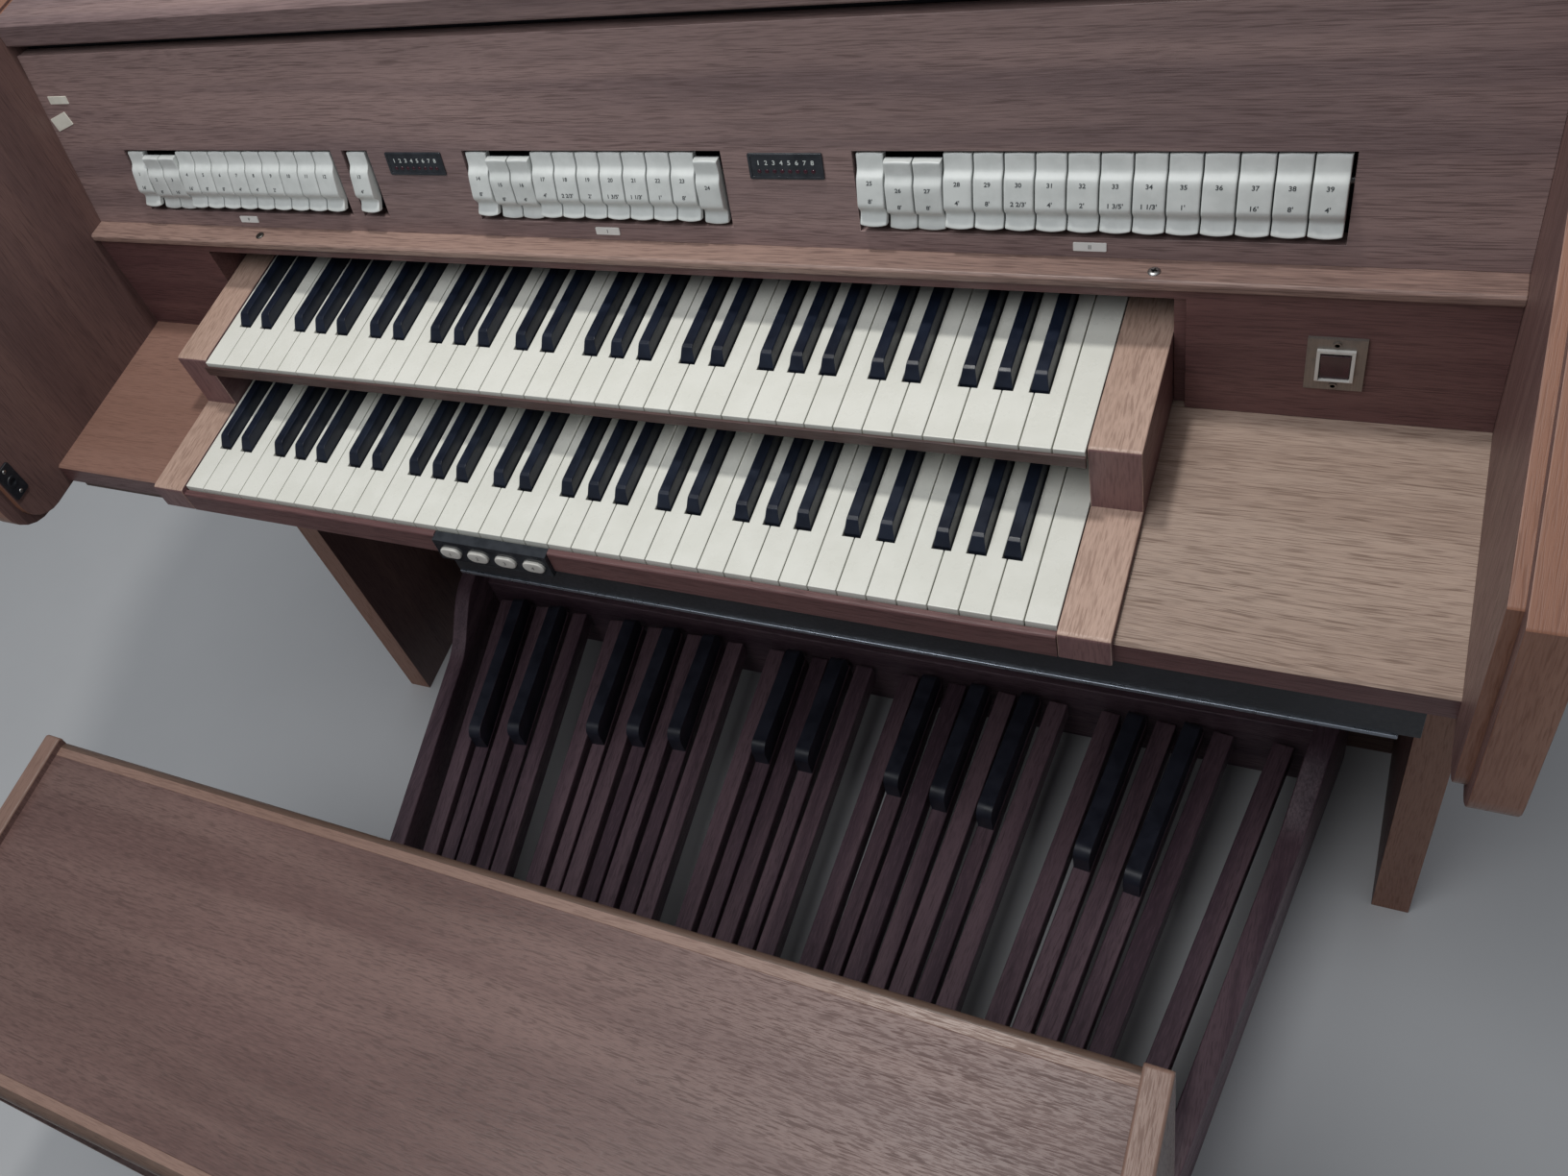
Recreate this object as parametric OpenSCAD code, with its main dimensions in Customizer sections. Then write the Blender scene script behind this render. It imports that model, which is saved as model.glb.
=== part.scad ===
// Two-manual organ console with a roll-top style case, a 30-note
// radiating pedalboard and a bench. Millimetres, +Z up, floor at z = 0.
// The player sits on the -Y side and faces +Y; x = 0 is the middle of the case.

/* [Case] */
// Inside width between the two end panels
inner_w = 1284; // [1100:2:1500]
// Thickness of each end panel
end_t = 36; // [24:1:50]
// Height of the case
case_h = 1216; // [1100:1:1300]
// Back face of the case (y)
case_back = 572; // [450:1:700]
// Front of the lower case (y)
body_y = 232; // [180:1:300]
// How far the end panels reach in front of the desk
end_front = 77; // [20:1:100]
// Underside of the overhanging end panels (z)
end_under = 812; // [798:1:840]
// Height of the front corner of the end panels (z)
end_nose = 1045; // [960:1:1100]

/* [Desk and keys] */
// Height of the lower manual's playing surface
key_z = 850; // [780:1:900]
// Width of one natural key with its gap
pitch = 23.5; // [22:0.1:24]
// Left end of the keyboards (x)
key_x0 = -449; // [-500:1:-400]
// Rise of the upper manual above the lower
manual_rise = 67.4; // [55:0.1:80]
// Set-back of the upper manual
manual_back = 107.6; // [90:0.1:130]
// Thickness of the desk tops and of the key slip
desk_t = 24; // [16:1:40]
// Top of the desk (z)
desk_z = 844; // [780:1:900]
// Front face of the upright board behind the desk (y)
board_y = 222; // [190:1:260]

/* [Nameboard] */
// Top of the ledge under the nameboard (z)
ledge_z = 984; // [930:1:1030]
// Foot of the nameboard (y)
name_y = 238; // [210:1:280]
// Lean of the nameboard from upright
name_tilt = 10; // [0:1:30]
// Length of the nameboard up its face
name_len = 194; // [150:1:240]
// Width of one stop tab with its gap
tab_pitch = 21.8; // [18:0.1:26]
// Length of a stop tab
tab_len = 61; // [40:1:80]

/* [Pedalboard] */
// Middle of the pedalboard (x)
ped_x = 11; // [-50:1:50]
// Where the middle sharps begin (y)
ped_y = 186; // [100:1:220]
// Radius that the pedals fan out on
ped_r = 3200; // [2000:10:4000]
// Width from one natural pedal to the next
ped_pitch = 57.9; // [50:0.1:66]
// Top of the natural pedals (z)
ped_z = 112; // [80:1:140]
// Heel end and toe end of the pedals (y)
ped_heel = -168; // [-300:1:-100]
ped_toe = 354; // [300:1:420]

/* [Bench] */
// Left and right outer faces of the bench (x)
bench_l = -675; // [-700:1:-500]
bench_r = 513; // [450:1:700]
// Back edge (console side) and front edge of the bench (y)
bench_back = -213; // [-260:1:-200]
bench_front = -572; // [-620:1:-500]
// Top of the bench seat (z)
seat_z = 607; // [500:1:650]

/* [Hidden] */
$fn = 48;
hw = inner_w/2;
ow = hw + end_t;
white_c = [0.90, 0.89, 0.84];
oak = [0.42, 0.27, 0.18];
dark_oak = [0.30, 0.18, 0.13];
light_oak = [0.66, 0.54, 0.40];
cheek_oak = [0.62, 0.44, 0.34];
black_c = [0.04, 0.04, 0.045];
metal_c = [0.62, 0.62, 0.60];
// sharps of one octave: middle of each, from the left edge of its C
sharp_at = [20.6, 48.0, 91.5, 118.0, 144.5];
// tails of the seven naturals of one octave: left and right edge
tails = [[0, 13.2], [28.0, 40.6], [55.4, 70.5], [70.5, 84.1],
         [98.9, 110.6], [125.4, 137.1], [151.9, 164.5]];
ka = name_tilt;
tab_mid = 53;
// how far behind the nameboard's face the tabs' axle lies, and their tilt
axle_in = 24;
tab_tilt = 5;
win_lo = 17;
win_hi = 87.5;
// tab groups: middle x, number of tabs
g_left = [-422.5, 12];
g_one = [-262, 1];
g_mid = [-22, 11];
g_right = [372.5, 15];
function win_w(g) = g[1] == 1 ? 29 : g[1]*tab_pitch + 4;
function th(n) = (n - 8.5)*ped_pitch/ped_r*180/PI;
// naturals of the pedalboard, sharps stand between n and n + 1
ped_sharps = [0, 1, 3, 4, 5, 7, 8, 10, 11, 12, 14, 15];
ped_o = ped_y - ped_r;

// One node name, or all

// ---------------- helpers ----------------
// a flat outline in (y, z) made solid from x0 to x1
module yz(x0, x1) translate([x0, 0, 0]) rotate([90, 0, 90]) linear_extrude(x1 - x0) children();
module box(x0, x1, y0, y1, z0, z1) translate([x0, y0, z0]) cube([x1 - x0, y1 - y0, z1 - z0]);
// the nameboard's own frame: x along, y into the board, z up its face
module on_name() translate([0, name_y, ledge_z]) rotate([-ka, 0, 0]) children();

// ---------------- case ----------------
// top edge of an end panel from its front corner up to the case top
function top_z(y) = lookup(y, [[-end_front, end_nose], [25, end_nose + 46], [77, end_nose + 73], [132, end_nose + 99],
  [180, end_nose + 120], [225, end_nose + 142], [259, case_h - 8], [286, case_h]]);
// how much lower the inner layer's edge lies; it comes up to the outer one at the back
function drop(y) = lookup(y, [[77, 15], [286, 3]]);
// side outline of an end panel, k = 1 for the inner layer, which is set in at the front
module end_outline(k) {
  f = -end_front + 17*k;
  u = end_under + 3*k;
  r = 45 - 8*k;
  polygon(concat(
    [for (i = [0 : 6]) [f + r - r*sin(15*i), u + r - r*cos(15*i)]],
    [[f, top_z(f) - k*drop(f) - 2], [f + 1.5, top_z(f) - k*drop(f)]],
    [for (i = [0 : 20]) let (y = 6 + 14*i) [y, top_z(y) - k*drop(y)]],
    [[case_back, case_h - 3*k], [case_back, 0], [body_y, 0], [body_y, u]]));
}
module end_panel() color(oak) {
  yz(hw, hw + 8) end_outline(1);
  yz(hw + 8, ow) end_outline(0);
}
module right_end_panel() end_panel();
module left_end_panel() mirror([1, 0, 0]) end_panel();
module back_panel() color(dark_oak) box(-hw, hw, case_back - 16, case_back, 60, case_h - 22);
module top_board() color(oak) box(-hw, hw, 290, case_back, case_h - 22, case_h);
module top_front_rail() color(oak) yz(-hw, hw)
  polygon([[268, case_h - 26], [272, case_h - 30], [290, case_h - 30], [290, case_h], [272, case_h], [268, case_h - 4]]);
module roll_slot_lining() color(black_c) yz(-hw, hw)
  polygon([[290, 1168], [300, 1168], [300, case_h - 22], [290, case_h - 22]]);
module base_rail() color(dark_oak) box(-hw, hw, 448, 466, 0, 90);
module kneeboard() color(dark_oak) box(-hw, hw, 430, 448, 0, 796);

// ---------------- nameboard ----------------
module nameboard() color(oak) difference() {
  on_name() difference() {
    box(-hw, hw, 0, 16, -6, name_len);
    for (g = [g_left, g_one, g_mid, g_right])
      box(g[0] - win_w(g)/2, g[0] + win_w(g)/2, -1, 17, win_lo, win_hi);
  }
  box(-hw - 1, hw + 1, name_y - 20, name_y + 40, ledge_z - 20, ledge_z);
}
module nameboard_ledge() color(oak) yz(-hw, hw)
  polygon([[216, ledge_z - 8], [218, ledge_z - 10], [262, ledge_z - 10], [262, ledge_z],
           [218, ledge_z], [216, ledge_z - 2]]);
module tab_wells() color(black_c) on_name()
  for (g = [g_left, g_one, g_mid, g_right]) difference() {
    box(g[0] - win_w(g)/2 - 4, g[0] + win_w(g)/2 + 4, 16, 40, win_lo - 4, win_hi + 4);
    box(g[0] - win_w(g)/2, g[0] + win_w(g)/2, 15, 36, win_lo, win_hi);
  }
// one stop tab about its axle, s = tilt in degrees: drawn tabs sit low with the foot pressed in.
// Its face swells in the middle, dips above and below, and flares out again at the foot
function tab_face(t) = -lookup(t, [[-30.5, 28.6], [-27, 27.6], [-23.5, 26.1], [-20, 25.4], [-17.3, 26.6], [-13.5, 30], [-10, 31.3],
  [-2, 31], [6, 30.6], [11, 29.7], [14.5, 27.4], [17.5, 25.9], [21, 25.7], [30.5, 26.2]]);
module tab(s) rotate([s, 0, 0]) {
  translate([-10.4, 0, 0]) rotate([90, 0, 90]) linear_extrude(20.8)
    polygon(concat(
      [[-19, tab_len/2], [-19, -18], [-23, -tab_len/2], [tab_face(-tab_len/2) + 1.2, -tab_len/2]],
      [for (t = [-tab_len/2 + 1.3, -27, -23.5, -20, -17.3, -13.5, -10, -2, 6, 11, 14.5, 17.5, 21, tab_len/2 - 1.3]) [tab_face(t), t]],
      [[tab_face(tab_len/2) + 1.2, tab_len/2]]));
  translate([-4, -20, -4]) cube([8, 20, 8]);
}
module tab_row(g, on) on_name() for (i = [0 : g[1] - 1])
  translate([g[0] + (i - (g[1] - 1)/2)*tab_pitch, axle_in, tab_mid]) tab(len(search(i, on)) > 0 ? tab_tilt : -tab_tilt);
module tab_axle(g, play) on_name() translate([g[0] - win_w(g)/2 + play, axle_in, tab_mid])
  rotate([0, 90, 0]) cylinder(h = win_w(g) - 2*play, r = 3.2);
module left_tabs() color(white_c) { tab_row(g_left, [1, 2]); tab_axle(g_left, 0); }
module single_tab() color(white_c) { tab_row(g_one, []); tab_axle(g_one, 0.5); }
module middle_tabs() color(white_c) { tab_row(g_mid, [1, 2, 10]); tab_axle(g_mid, 0); }
module right_tabs() color(white_c) { tab_row(g_right, [1, 2]); tab_axle(g_right, 0); }
module display(x) color(black_c) on_name() box(x - 30.5, x + 30.5, -1.5, 0, 63.2, 86.2);
module left_display() display(-197);
module right_display() display(153.3);
module division_labels() color(white_c) on_name() for (x = [-424.5, -17.6, 376.5]) box(x - 11.5, x + 11.5, -1, 0, 5.8, 13);
// two plain cards near the left end of the nameboard, the lower one askew
module side_cards() color(white_c) on_name() {
  box(-hw + 15, -hw + 41.5, -0.8, 0, 141, 149.5);
  translate([-hw + 18, 0, 121]) rotate([0, -18, 0]) box(-13.3, 13.3, -0.8, 0, -7.4, 7.4);
}
module ledge_screws() color(metal_c) for (x = [422, -408]) translate([x, 226, ledge_z]) cylinder(h = 1.6, r1 = 4.5, r2 = 3);

// ---------------- desk ----------------
kx1 = key_x0 + 36*pitch;
lc0 = key_x0 - 39.5;
rc1 = kx1 + 37.5;
// upright board with the opening for the keyboards, and returns beside the opening
module desk_back_board() color(dark_oak) difference() {
  union() {
    box(-hw, hw, board_y, board_y + 18, desk_z, ledge_z - 10);
    for (x = [lc0 - 12.3, rc1 + 9]) box(x, x + 12, board_y + 17, 300, desk_z - desk_t, ledge_z - 10);
    box(rc1 + 0.3, rc1 + 9.5, board_y + 6, board_y + 18, desk_z, key_z + 113);
  }
  difference() {
    box(lc0 - 0.3, rc1 + 9, board_y - 1, board_y + 19, desk_z - 1, key_z + 112);
    box(rc1 + 0.3, rc1 + 10, board_y + 6, board_y + 20, desk_z, key_z + 113);
  }
  for (x = [lc0 - 13, rc1 + 8]) box(x, x + 14, board_y + 10, board_y + 18, desk_z - desk_t - 1, desk_z);
}
// f = front face of the desk top
module desk_top(x0, x1, f) color(light_oak) yz(x0, x1)
  polygon([[f, desk_z - desk_t], [board_y + 18, desk_z - desk_t], [board_y + 18, desk_z - 0.2], [board_y, desk_z - 0.2], [board_y, desk_z], [f + 2, desk_z], [f, desk_z - 2]]);
module left_desk() desk_top(-hw, lc0, 4);
module right_desk() desk_top(rc1, hw, -1);
module key_bed() color(dark_oak) {
  box(-hw, hw, 16, 540, 796, desk_z - desk_t);
  box(key_x0 - 0.5, kx1 + 0.5, lk_y + 264, lk_y + 276, desk_z - desk_t, key_z - 14);
  box(key_x0 - 0.5, kx1 + 0.5, lk_y + 276, lk_y + 284, desk_z - desk_t, key_z + 28);
}
module key_slip() color(oak) difference() {
  yz(key_x0, kx1) polygon([[-6, desk_z - desk_t], [0.4, desk_z - desk_t], [0.4, key_z - 4], [-4.5, key_z - 4], [-6, key_z - 5.5]]);
  box(-143.2, -24.8, -8, 2, 815, 860);
}
module cheek_outline() polygon([[-6, desk_z - desk_t], [430, desk_z - desk_t], [430, key_z + manual_rise + 1.6],
  [115, key_z + manual_rise + 1.6], [112.4, key_z + manual_rise + 0.9], [111.4, key_z + manual_rise - 1.6], [111.4, key_z + 1.2],
  [-2, key_z + 1.2], [-5, key_z + 0.2], [-6, key_z - 2.5]]);
module left_key_cheek() color(cheek_oak) yz(lc0, key_x0 - 0.5) cheek_outline();
module right_key_cheek() color(cheek_oak) yz(kx1 + 0.5, rc1) cheek_outline();
module upper_key_rail() color(dark_oak)
  box(key_x0 - 0.5, kx1 + 0.5, uk_y - 4, uk_y - 1.4, key_z + 53, key_z + manual_rise - 3);
module upper_key_frame() color(dark_oak) {
  box(key_x0 - 0.5, kx1 + 0.5, 150, uk_y + 284, key_z + 28, key_z + 40);
  box(key_x0 - 0.5, kx1 + 0.5, uk_y + 264, uk_y + 276, key_z + 40, key_z + manual_rise - 14);
  box(key_x0 - 0.5, kx1 + 0.5, uk_y + 276, uk_y + 284, key_z + 40, ledge_z - 10);
}
// the fascia starts behind the pistons and runs to the right
module under_desk_fascia() color(black_c) box(-143, 626, 0.6, 16, 784, desk_z - desk_t);
module fascia_trim() color(metal_c) box(-142, 613, -1, 16, 780, 784);
module lock_plate() color(black_c) box(-hw, -hw + 3, -58, -37, 862, 904);
module switch_plate() color([0.16, 0.15, 0.15]) difference() {
  union() {
    box(522.5, 559.5, board_y - 2.5, board_y, 880, 932);
    box(529, 553, board_y - 5, board_y - 2.5, 889.5, 922);
    for (z = [884.8, 927]) translate([541, board_y - 2.5, z]) rotate([90, 0, 0]) cylinder(h = 1.2, r = 2.6);
  }
  box(531.2, 550.8, board_y - 6, board_y - 1, 891.3, 919.7);
}
// the rocker turns on a line through the middle of the plate
module power_rocker() color([0.45, 0.05, 0.05]) translate([541, board_y - 2.6, 905.5]) rotate([7, 0, 0])
  translate([-9.3, 0, 0]) rotate([90, 0, 90]) linear_extrude(18.6)
  polygon([[-2, 13.3], [-1.3, 5], [-1, 0], [-1.3, -5], [-2, -13.3], [-1, -13.5], [1.2, -2], [1.2, 2], [-1, 13.5]]);

// ---------------- pistons ----------------
module stadium(w, h, y0, y1) {
  translate([-(w - h)/2, y1, 0]) rotate([90, 0, 0]) cylinder(h = y1 - y0, r = h/2);
  translate([(w - h)/2, y1, 0]) rotate([90, 0, 0]) cylinder(h = y1 - y0, r = h/2);
  translate([-(w - h)/2, y0, -h/2]) cube([w - h, y1 - y0, h]);
}
piston_x = [-127.8, -98.8, -69.8, -40.8];
module piston_block() color(black_c) difference() {
  box(-143, -25, -10, 0.5, 816, 845);
  for (x = piston_x) translate([x, 0, 829]) stadium(22.6, 14.6, -11, -1);
}
module piston(i) color(white_c) translate([piston_x[i], 0, 829]) stadium(21.6, 13.6, -13, -4.6);
module piston_1() piston(0);
module piston_2() piston(1);
module piston_3() piston(2);
module piston_4() piston(3);

// ---------------- keys ----------------
// natural i (0 is the lowest C) of a manual whose front is at y0 and top at z0
module natural(i, y0, z0) {
  o = floor(i/7);
  k = i - 7*o;
  x = key_x0 + i*pitch;
  xo = key_x0 + o*7*pitch;
  last = i == 35;
  translate([x + 0.4, y0, z0 - 14]) cube([pitch - 0.8, 52, 14]);
  a = last ? i*pitch - o*7*pitch + 0.4 : max(tails[k][0], k*pitch + 0.4);
  b = last ? (i + 1)*pitch - o*7*pitch - 0.4 : min(tails[k][1], (k + 1)*pitch - 0.4);
  translate([xo + a, y0 + 52 - 0.01, z0 - 14]) cube([b - a, 218, 14]);
}
module naturals(y0, z0) color(white_c) for (i = [0 : 34]) natural(i, y0, z0);
module top_c(y0, z0) color(white_c) translate([key_x0 + 35*pitch + 0.5, y0, z0 - 14]) cube([pitch - 1, 270, 14]);
module sharp(x, y0, z0) intersection() {
  translate([x, y0 + 300, z0]) rotate([90, 0, 0]) linear_extrude(300)
    polygon([[-6.4, -14], [6.4, -14], [6.4, 1], [4.7, 11.4], [4.1, 12], [-4.1, 12], [-4.7, 11.4], [-6.4, 1]]);
  translate([x - 8, y0, z0]) rotate([90, 0, 90]) linear_extrude(16)
    polygon([[54.5, -14], [270, -14], [270, 12], [64, 12], [61, 11], [59.4, 9], [54.5, 0]]);
}
module sharps(y0, z0) color(black_c) for (o = [0 : 4], s = sharp_at) sharp(key_x0 + o*7*pitch + s, y0, z0);
lk_y = 2;
uk_y = lk_y + manual_back;
module lower_naturals() naturals(lk_y, key_z);
module lower_sharps() sharps(lk_y, key_z);
module upper_naturals() naturals(uk_y, key_z + manual_rise);
module upper_sharps() sharps(uk_y, key_z + manual_rise);
module lower_top_c_key() top_c(lk_y, key_z);
module upper_top_c_key() top_c(uk_y, key_z + manual_rise);

// ---------------- pedalboard ----------------
// place children on pedal line n: local x across, y along from the middle sharps' front
module pedal(n) translate([ped_x, ped_o, 0]) rotate([0, 0, -th(n)]) translate([0, ped_r, 0]) children();
function r_at(n, y) = (y - ped_o)/cos(th(n)) - ped_r;
module ped_nat(n) pedal(n) translate([-11, 0, 0]) rotate([90, 0, 90]) linear_extrude(22)
  polygon([[r_at(n, ped_heel), ped_z - 30], [r_at(n, ped_toe), ped_z - 30], [r_at(n, ped_toe), ped_z - 2],
           [r_at(n, ped_toe) - 2, ped_z], [r_at(n, ped_heel), ped_z]]);
// the black caps run on to just short of the toe end
function cap_front(n) = -0.000195*pow((n - 8.5)*ped_pitch, 2);
function cap_len(n) = r_at(n, ped_toe) - 4 - cap_front(n);
module ped_bar(n) pedal(n) translate([-10, 0, 0]) rotate([90, 0, 90]) linear_extrude(20)
  polygon([[r_at(n, ped_heel), ped_z - 30], [r_at(n, ped_toe), ped_z - 30], [r_at(n, ped_toe), ped_z - 5], [r_at(n, ped_heel), ped_z - 5]]);
module ped_cap(n) pedal(n) translate([-9, cap_front(n), ped_z - 5]) {
  rotate([90, 0, 90]) linear_extrude(18) polygon([[0, 0], [cap_len(n), 0], [cap_len(n), 18], [cap_len(n) - 14, 30], [14, 40], [0, 26]]);
  translate([0, 14, 26]) rotate([0, 90, 0]) cylinder(h = 18, r = 14);
  translate([0, cap_len(n) - 14, 16]) rotate([0, 90, 0]) cylinder(h = 18, r = 14);
}
module pedal_naturals() color(oak) for (n = [1 : 17]) ped_nat(n);
module pedal_low_c() color(oak) ped_nat(0);
module pedal_sharp_bars() color(oak) for (n = ped_sharps) if (n > 0) ped_bar(n + 0.5);
module pedal_sharp_caps() color(black_c) for (n = ped_sharps) if (n > 0) ped_cap(n + 0.5);
module pedal_low_c_sharp() color(black_c) { ped_bar(0.5); ped_cap(0.5); }
// inner face of a side rail, across from the middle, at a given y
function rail_in(y) = 470 + (y - ped_heel + 26)*0.148;
module side_rail(s) color(dark_oak) intersection() {
  translate([ped_x, 0, 0]) mirror([s < 0 ? 1 : 0, 0, 0]) linear_extrude(260)
    polygon([[rail_in(ped_heel - 26), ped_heel - 26], [rail_in(ped_heel - 26) + 24, ped_heel - 26], [rail_in(414) + 24, 414], [rail_in(414), 414]]);
  yz(-700, 700) polygon(concat([[ped_heel - 26, 0], [414, 0], [414, 178], [328, 178]],
    [for (i = [0 : 10]) let (u = i/10) [328 - 108*u, 178 - 44*(3*u*u - 2*u*u*u)]],
    [[ped_heel - 10, 130], [ped_heel - 26, 118]]));
}
module pedal_left_rail() side_rail(-1);
module pedal_right_rail() side_rail(1);
// a cross rail that just fills the width between the side rails
module cross_rail(y0, y1, z0, z1) translate([ped_x, 0, z0]) linear_extrude(z1 - z0)
  polygon([[-rail_in(y0), y0], [rail_in(y0), y0], [rail_in(y1), y1], [-rail_in(y1), y1]]);
module pedal_toe_rail() color(dark_oak) cross_rail(ped_toe + 8, ped_toe + 24, 20, ped_z + 26);
module pedal_heel_rail() color(dark_oak) {
  cross_rail(ped_heel - 26, ped_heel - 8, 0, ped_z + 4);
  cross_rail(ped_heel - 8, ped_heel + 12, 20, ped_z - 30);
}

// ---------------- bench ----------------
module bench_seat() color(light_oak) yz(bench_l + 22, bench_r - 22)
  polygon([[bench_front + 3, seat_z - 26], [bench_back - 3, seat_z - 26], [bench_back, seat_z - 22], [bench_back, seat_z - 9],
           [bench_back - 2.7, seat_z - 2.7], [bench_back - 9, seat_z], [bench_front + 9, seat_z], [bench_front + 2.7, seat_z - 2.7],
           [bench_front, seat_z - 9], [bench_front, seat_z - 22]]);
module bench_end(x) color(light_oak) yz(x, x + 22)
  polygon([[bench_front, 0], [bench_back, 0], [bench_back, seat_z + 6], [bench_back - 3, seat_z + 10],
     [bench_front + 3, seat_z + 10], [bench_front, seat_z + 6]]);
module bench_left_end() bench_end(bench_l);
module bench_right_end() bench_end(bench_r - 22);
module bench_stretcher() color(light_oak) {
  box(bench_l + 22, bench_r - 22, -402, -380, 150, 260);
  box(bench_l + 22, bench_r - 22, bench_front + 40, bench_front + 58, seat_z - 86, seat_z - 26);
  box(bench_l + 22, bench_r - 22, bench_back - 58, bench_back - 40, seat_z - 86, seat_z - 26);
}

left_end_panel();
right_end_panel();
back_panel();
top_board();
top_front_rail();
roll_slot_lining();
nameboard();
nameboard_ledge();
desk_back_board();
left_desk();
right_desk();
key_bed();
key_slip();
left_key_cheek();
right_key_cheek();
upper_key_rail();
upper_key_frame();
lower_naturals();
lower_sharps();
upper_naturals();
upper_sharps();
lower_top_c_key();
upper_top_c_key();
tab_wells();
left_tabs();
single_tab();
middle_tabs();
right_tabs();
left_display();
right_display();
division_labels();
side_cards();
ledge_screws();
switch_plate();
power_rocker();
piston_block();
piston_1();
piston_2();
piston_3();
piston_4();
under_desk_fascia();
fascia_trim();
lock_plate();
kneeboard();
base_rail();
pedal_left_rail();
pedal_right_rail();
pedal_toe_rail();
pedal_heel_rail();
pedal_naturals();
pedal_sharp_bars();
pedal_sharp_caps();
pedal_low_c();
pedal_low_c_sharp();
bench_seat();
bench_left_end();
bench_right_end();
bench_stretcher();
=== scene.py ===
import bpy, bmesh, math, random
import numpy as np
from mathutils import Vector, Matrix


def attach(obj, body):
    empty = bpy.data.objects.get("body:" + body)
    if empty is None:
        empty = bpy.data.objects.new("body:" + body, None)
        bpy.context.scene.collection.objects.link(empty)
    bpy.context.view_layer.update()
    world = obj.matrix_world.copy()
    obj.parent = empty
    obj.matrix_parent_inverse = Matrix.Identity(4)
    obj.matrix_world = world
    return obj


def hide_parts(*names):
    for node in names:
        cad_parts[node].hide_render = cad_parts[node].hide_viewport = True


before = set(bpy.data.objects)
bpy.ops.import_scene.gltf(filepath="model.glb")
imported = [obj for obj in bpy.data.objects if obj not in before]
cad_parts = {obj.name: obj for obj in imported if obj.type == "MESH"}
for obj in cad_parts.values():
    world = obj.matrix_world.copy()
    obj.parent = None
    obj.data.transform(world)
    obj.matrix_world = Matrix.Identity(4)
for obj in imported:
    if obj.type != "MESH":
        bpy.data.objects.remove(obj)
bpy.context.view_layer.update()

scene = bpy.context.scene
rng = random.Random(7)
MM = 0.001


# ------------------------------------------------------------------ camera
def make_camera():
    f, cx, cy = 1509.4, 495.64, 559.08
    C = Vector((1.01958 - 0.449, -0.58923, 0.94607 + 0.850))
    vpx, vpy, vpz = (-1991.6, 154.1), (1844.2, -2097.5), (1212.7, 1780.7)

    def ray(p, s):
        return Vector(((p[0] - cx) / f, (p[1] - cy) / f, 1.0)).normalized() * s

    # world axes in camera coordinates (right, down, forward)
    X = ray(vpx, -1.0)
    Y = ray(vpy, 1.0)
    Z = X.cross(Y)
    Y = Z.cross(X).normalized()
    Z = X.cross(Y)
    if Z.dot(ray(vpz, -1.0)) < 0:
        Z = -Z
    right = Vector((X[0], Y[0], Z[0])).normalized()
    down = Vector((X[1], Y[1], Z[1]))
    fwd = Vector((X[2], Y[2], Z[2]))
    down = (down - right * down.dot(right)).normalized()
    fwd2 = right.cross(down)
    if fwd2.dot(fwd) < 0:
        fwd2 = -fwd2
    cam = bpy.data.cameras.new("camera")
    ob = bpy.data.objects.new("camera", cam)
    scene.collection.objects.link(ob)
    ob.matrix_world = Matrix(((right[0], -down[0], -fwd2[0], C[0]),
                              (right[1], -down[1], -fwd2[1], C[1]),
                              (right[2], -down[2], -fwd2[2], C[2]),
                              (0, 0, 0, 1)))
    cam.sensor_width = 36.0
    cam.sensor_fit = "HORIZONTAL"
    cam.lens = f / 1632.0 * 36.0
    cam.shift_x = (816.0 - cx) / 1632.0
    cam.shift_y = (cy - 612.0) / 1632.0
    cam.clip_start = 0.05
    cam.clip_end = 50
    scene.camera = ob


make_camera()


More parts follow.
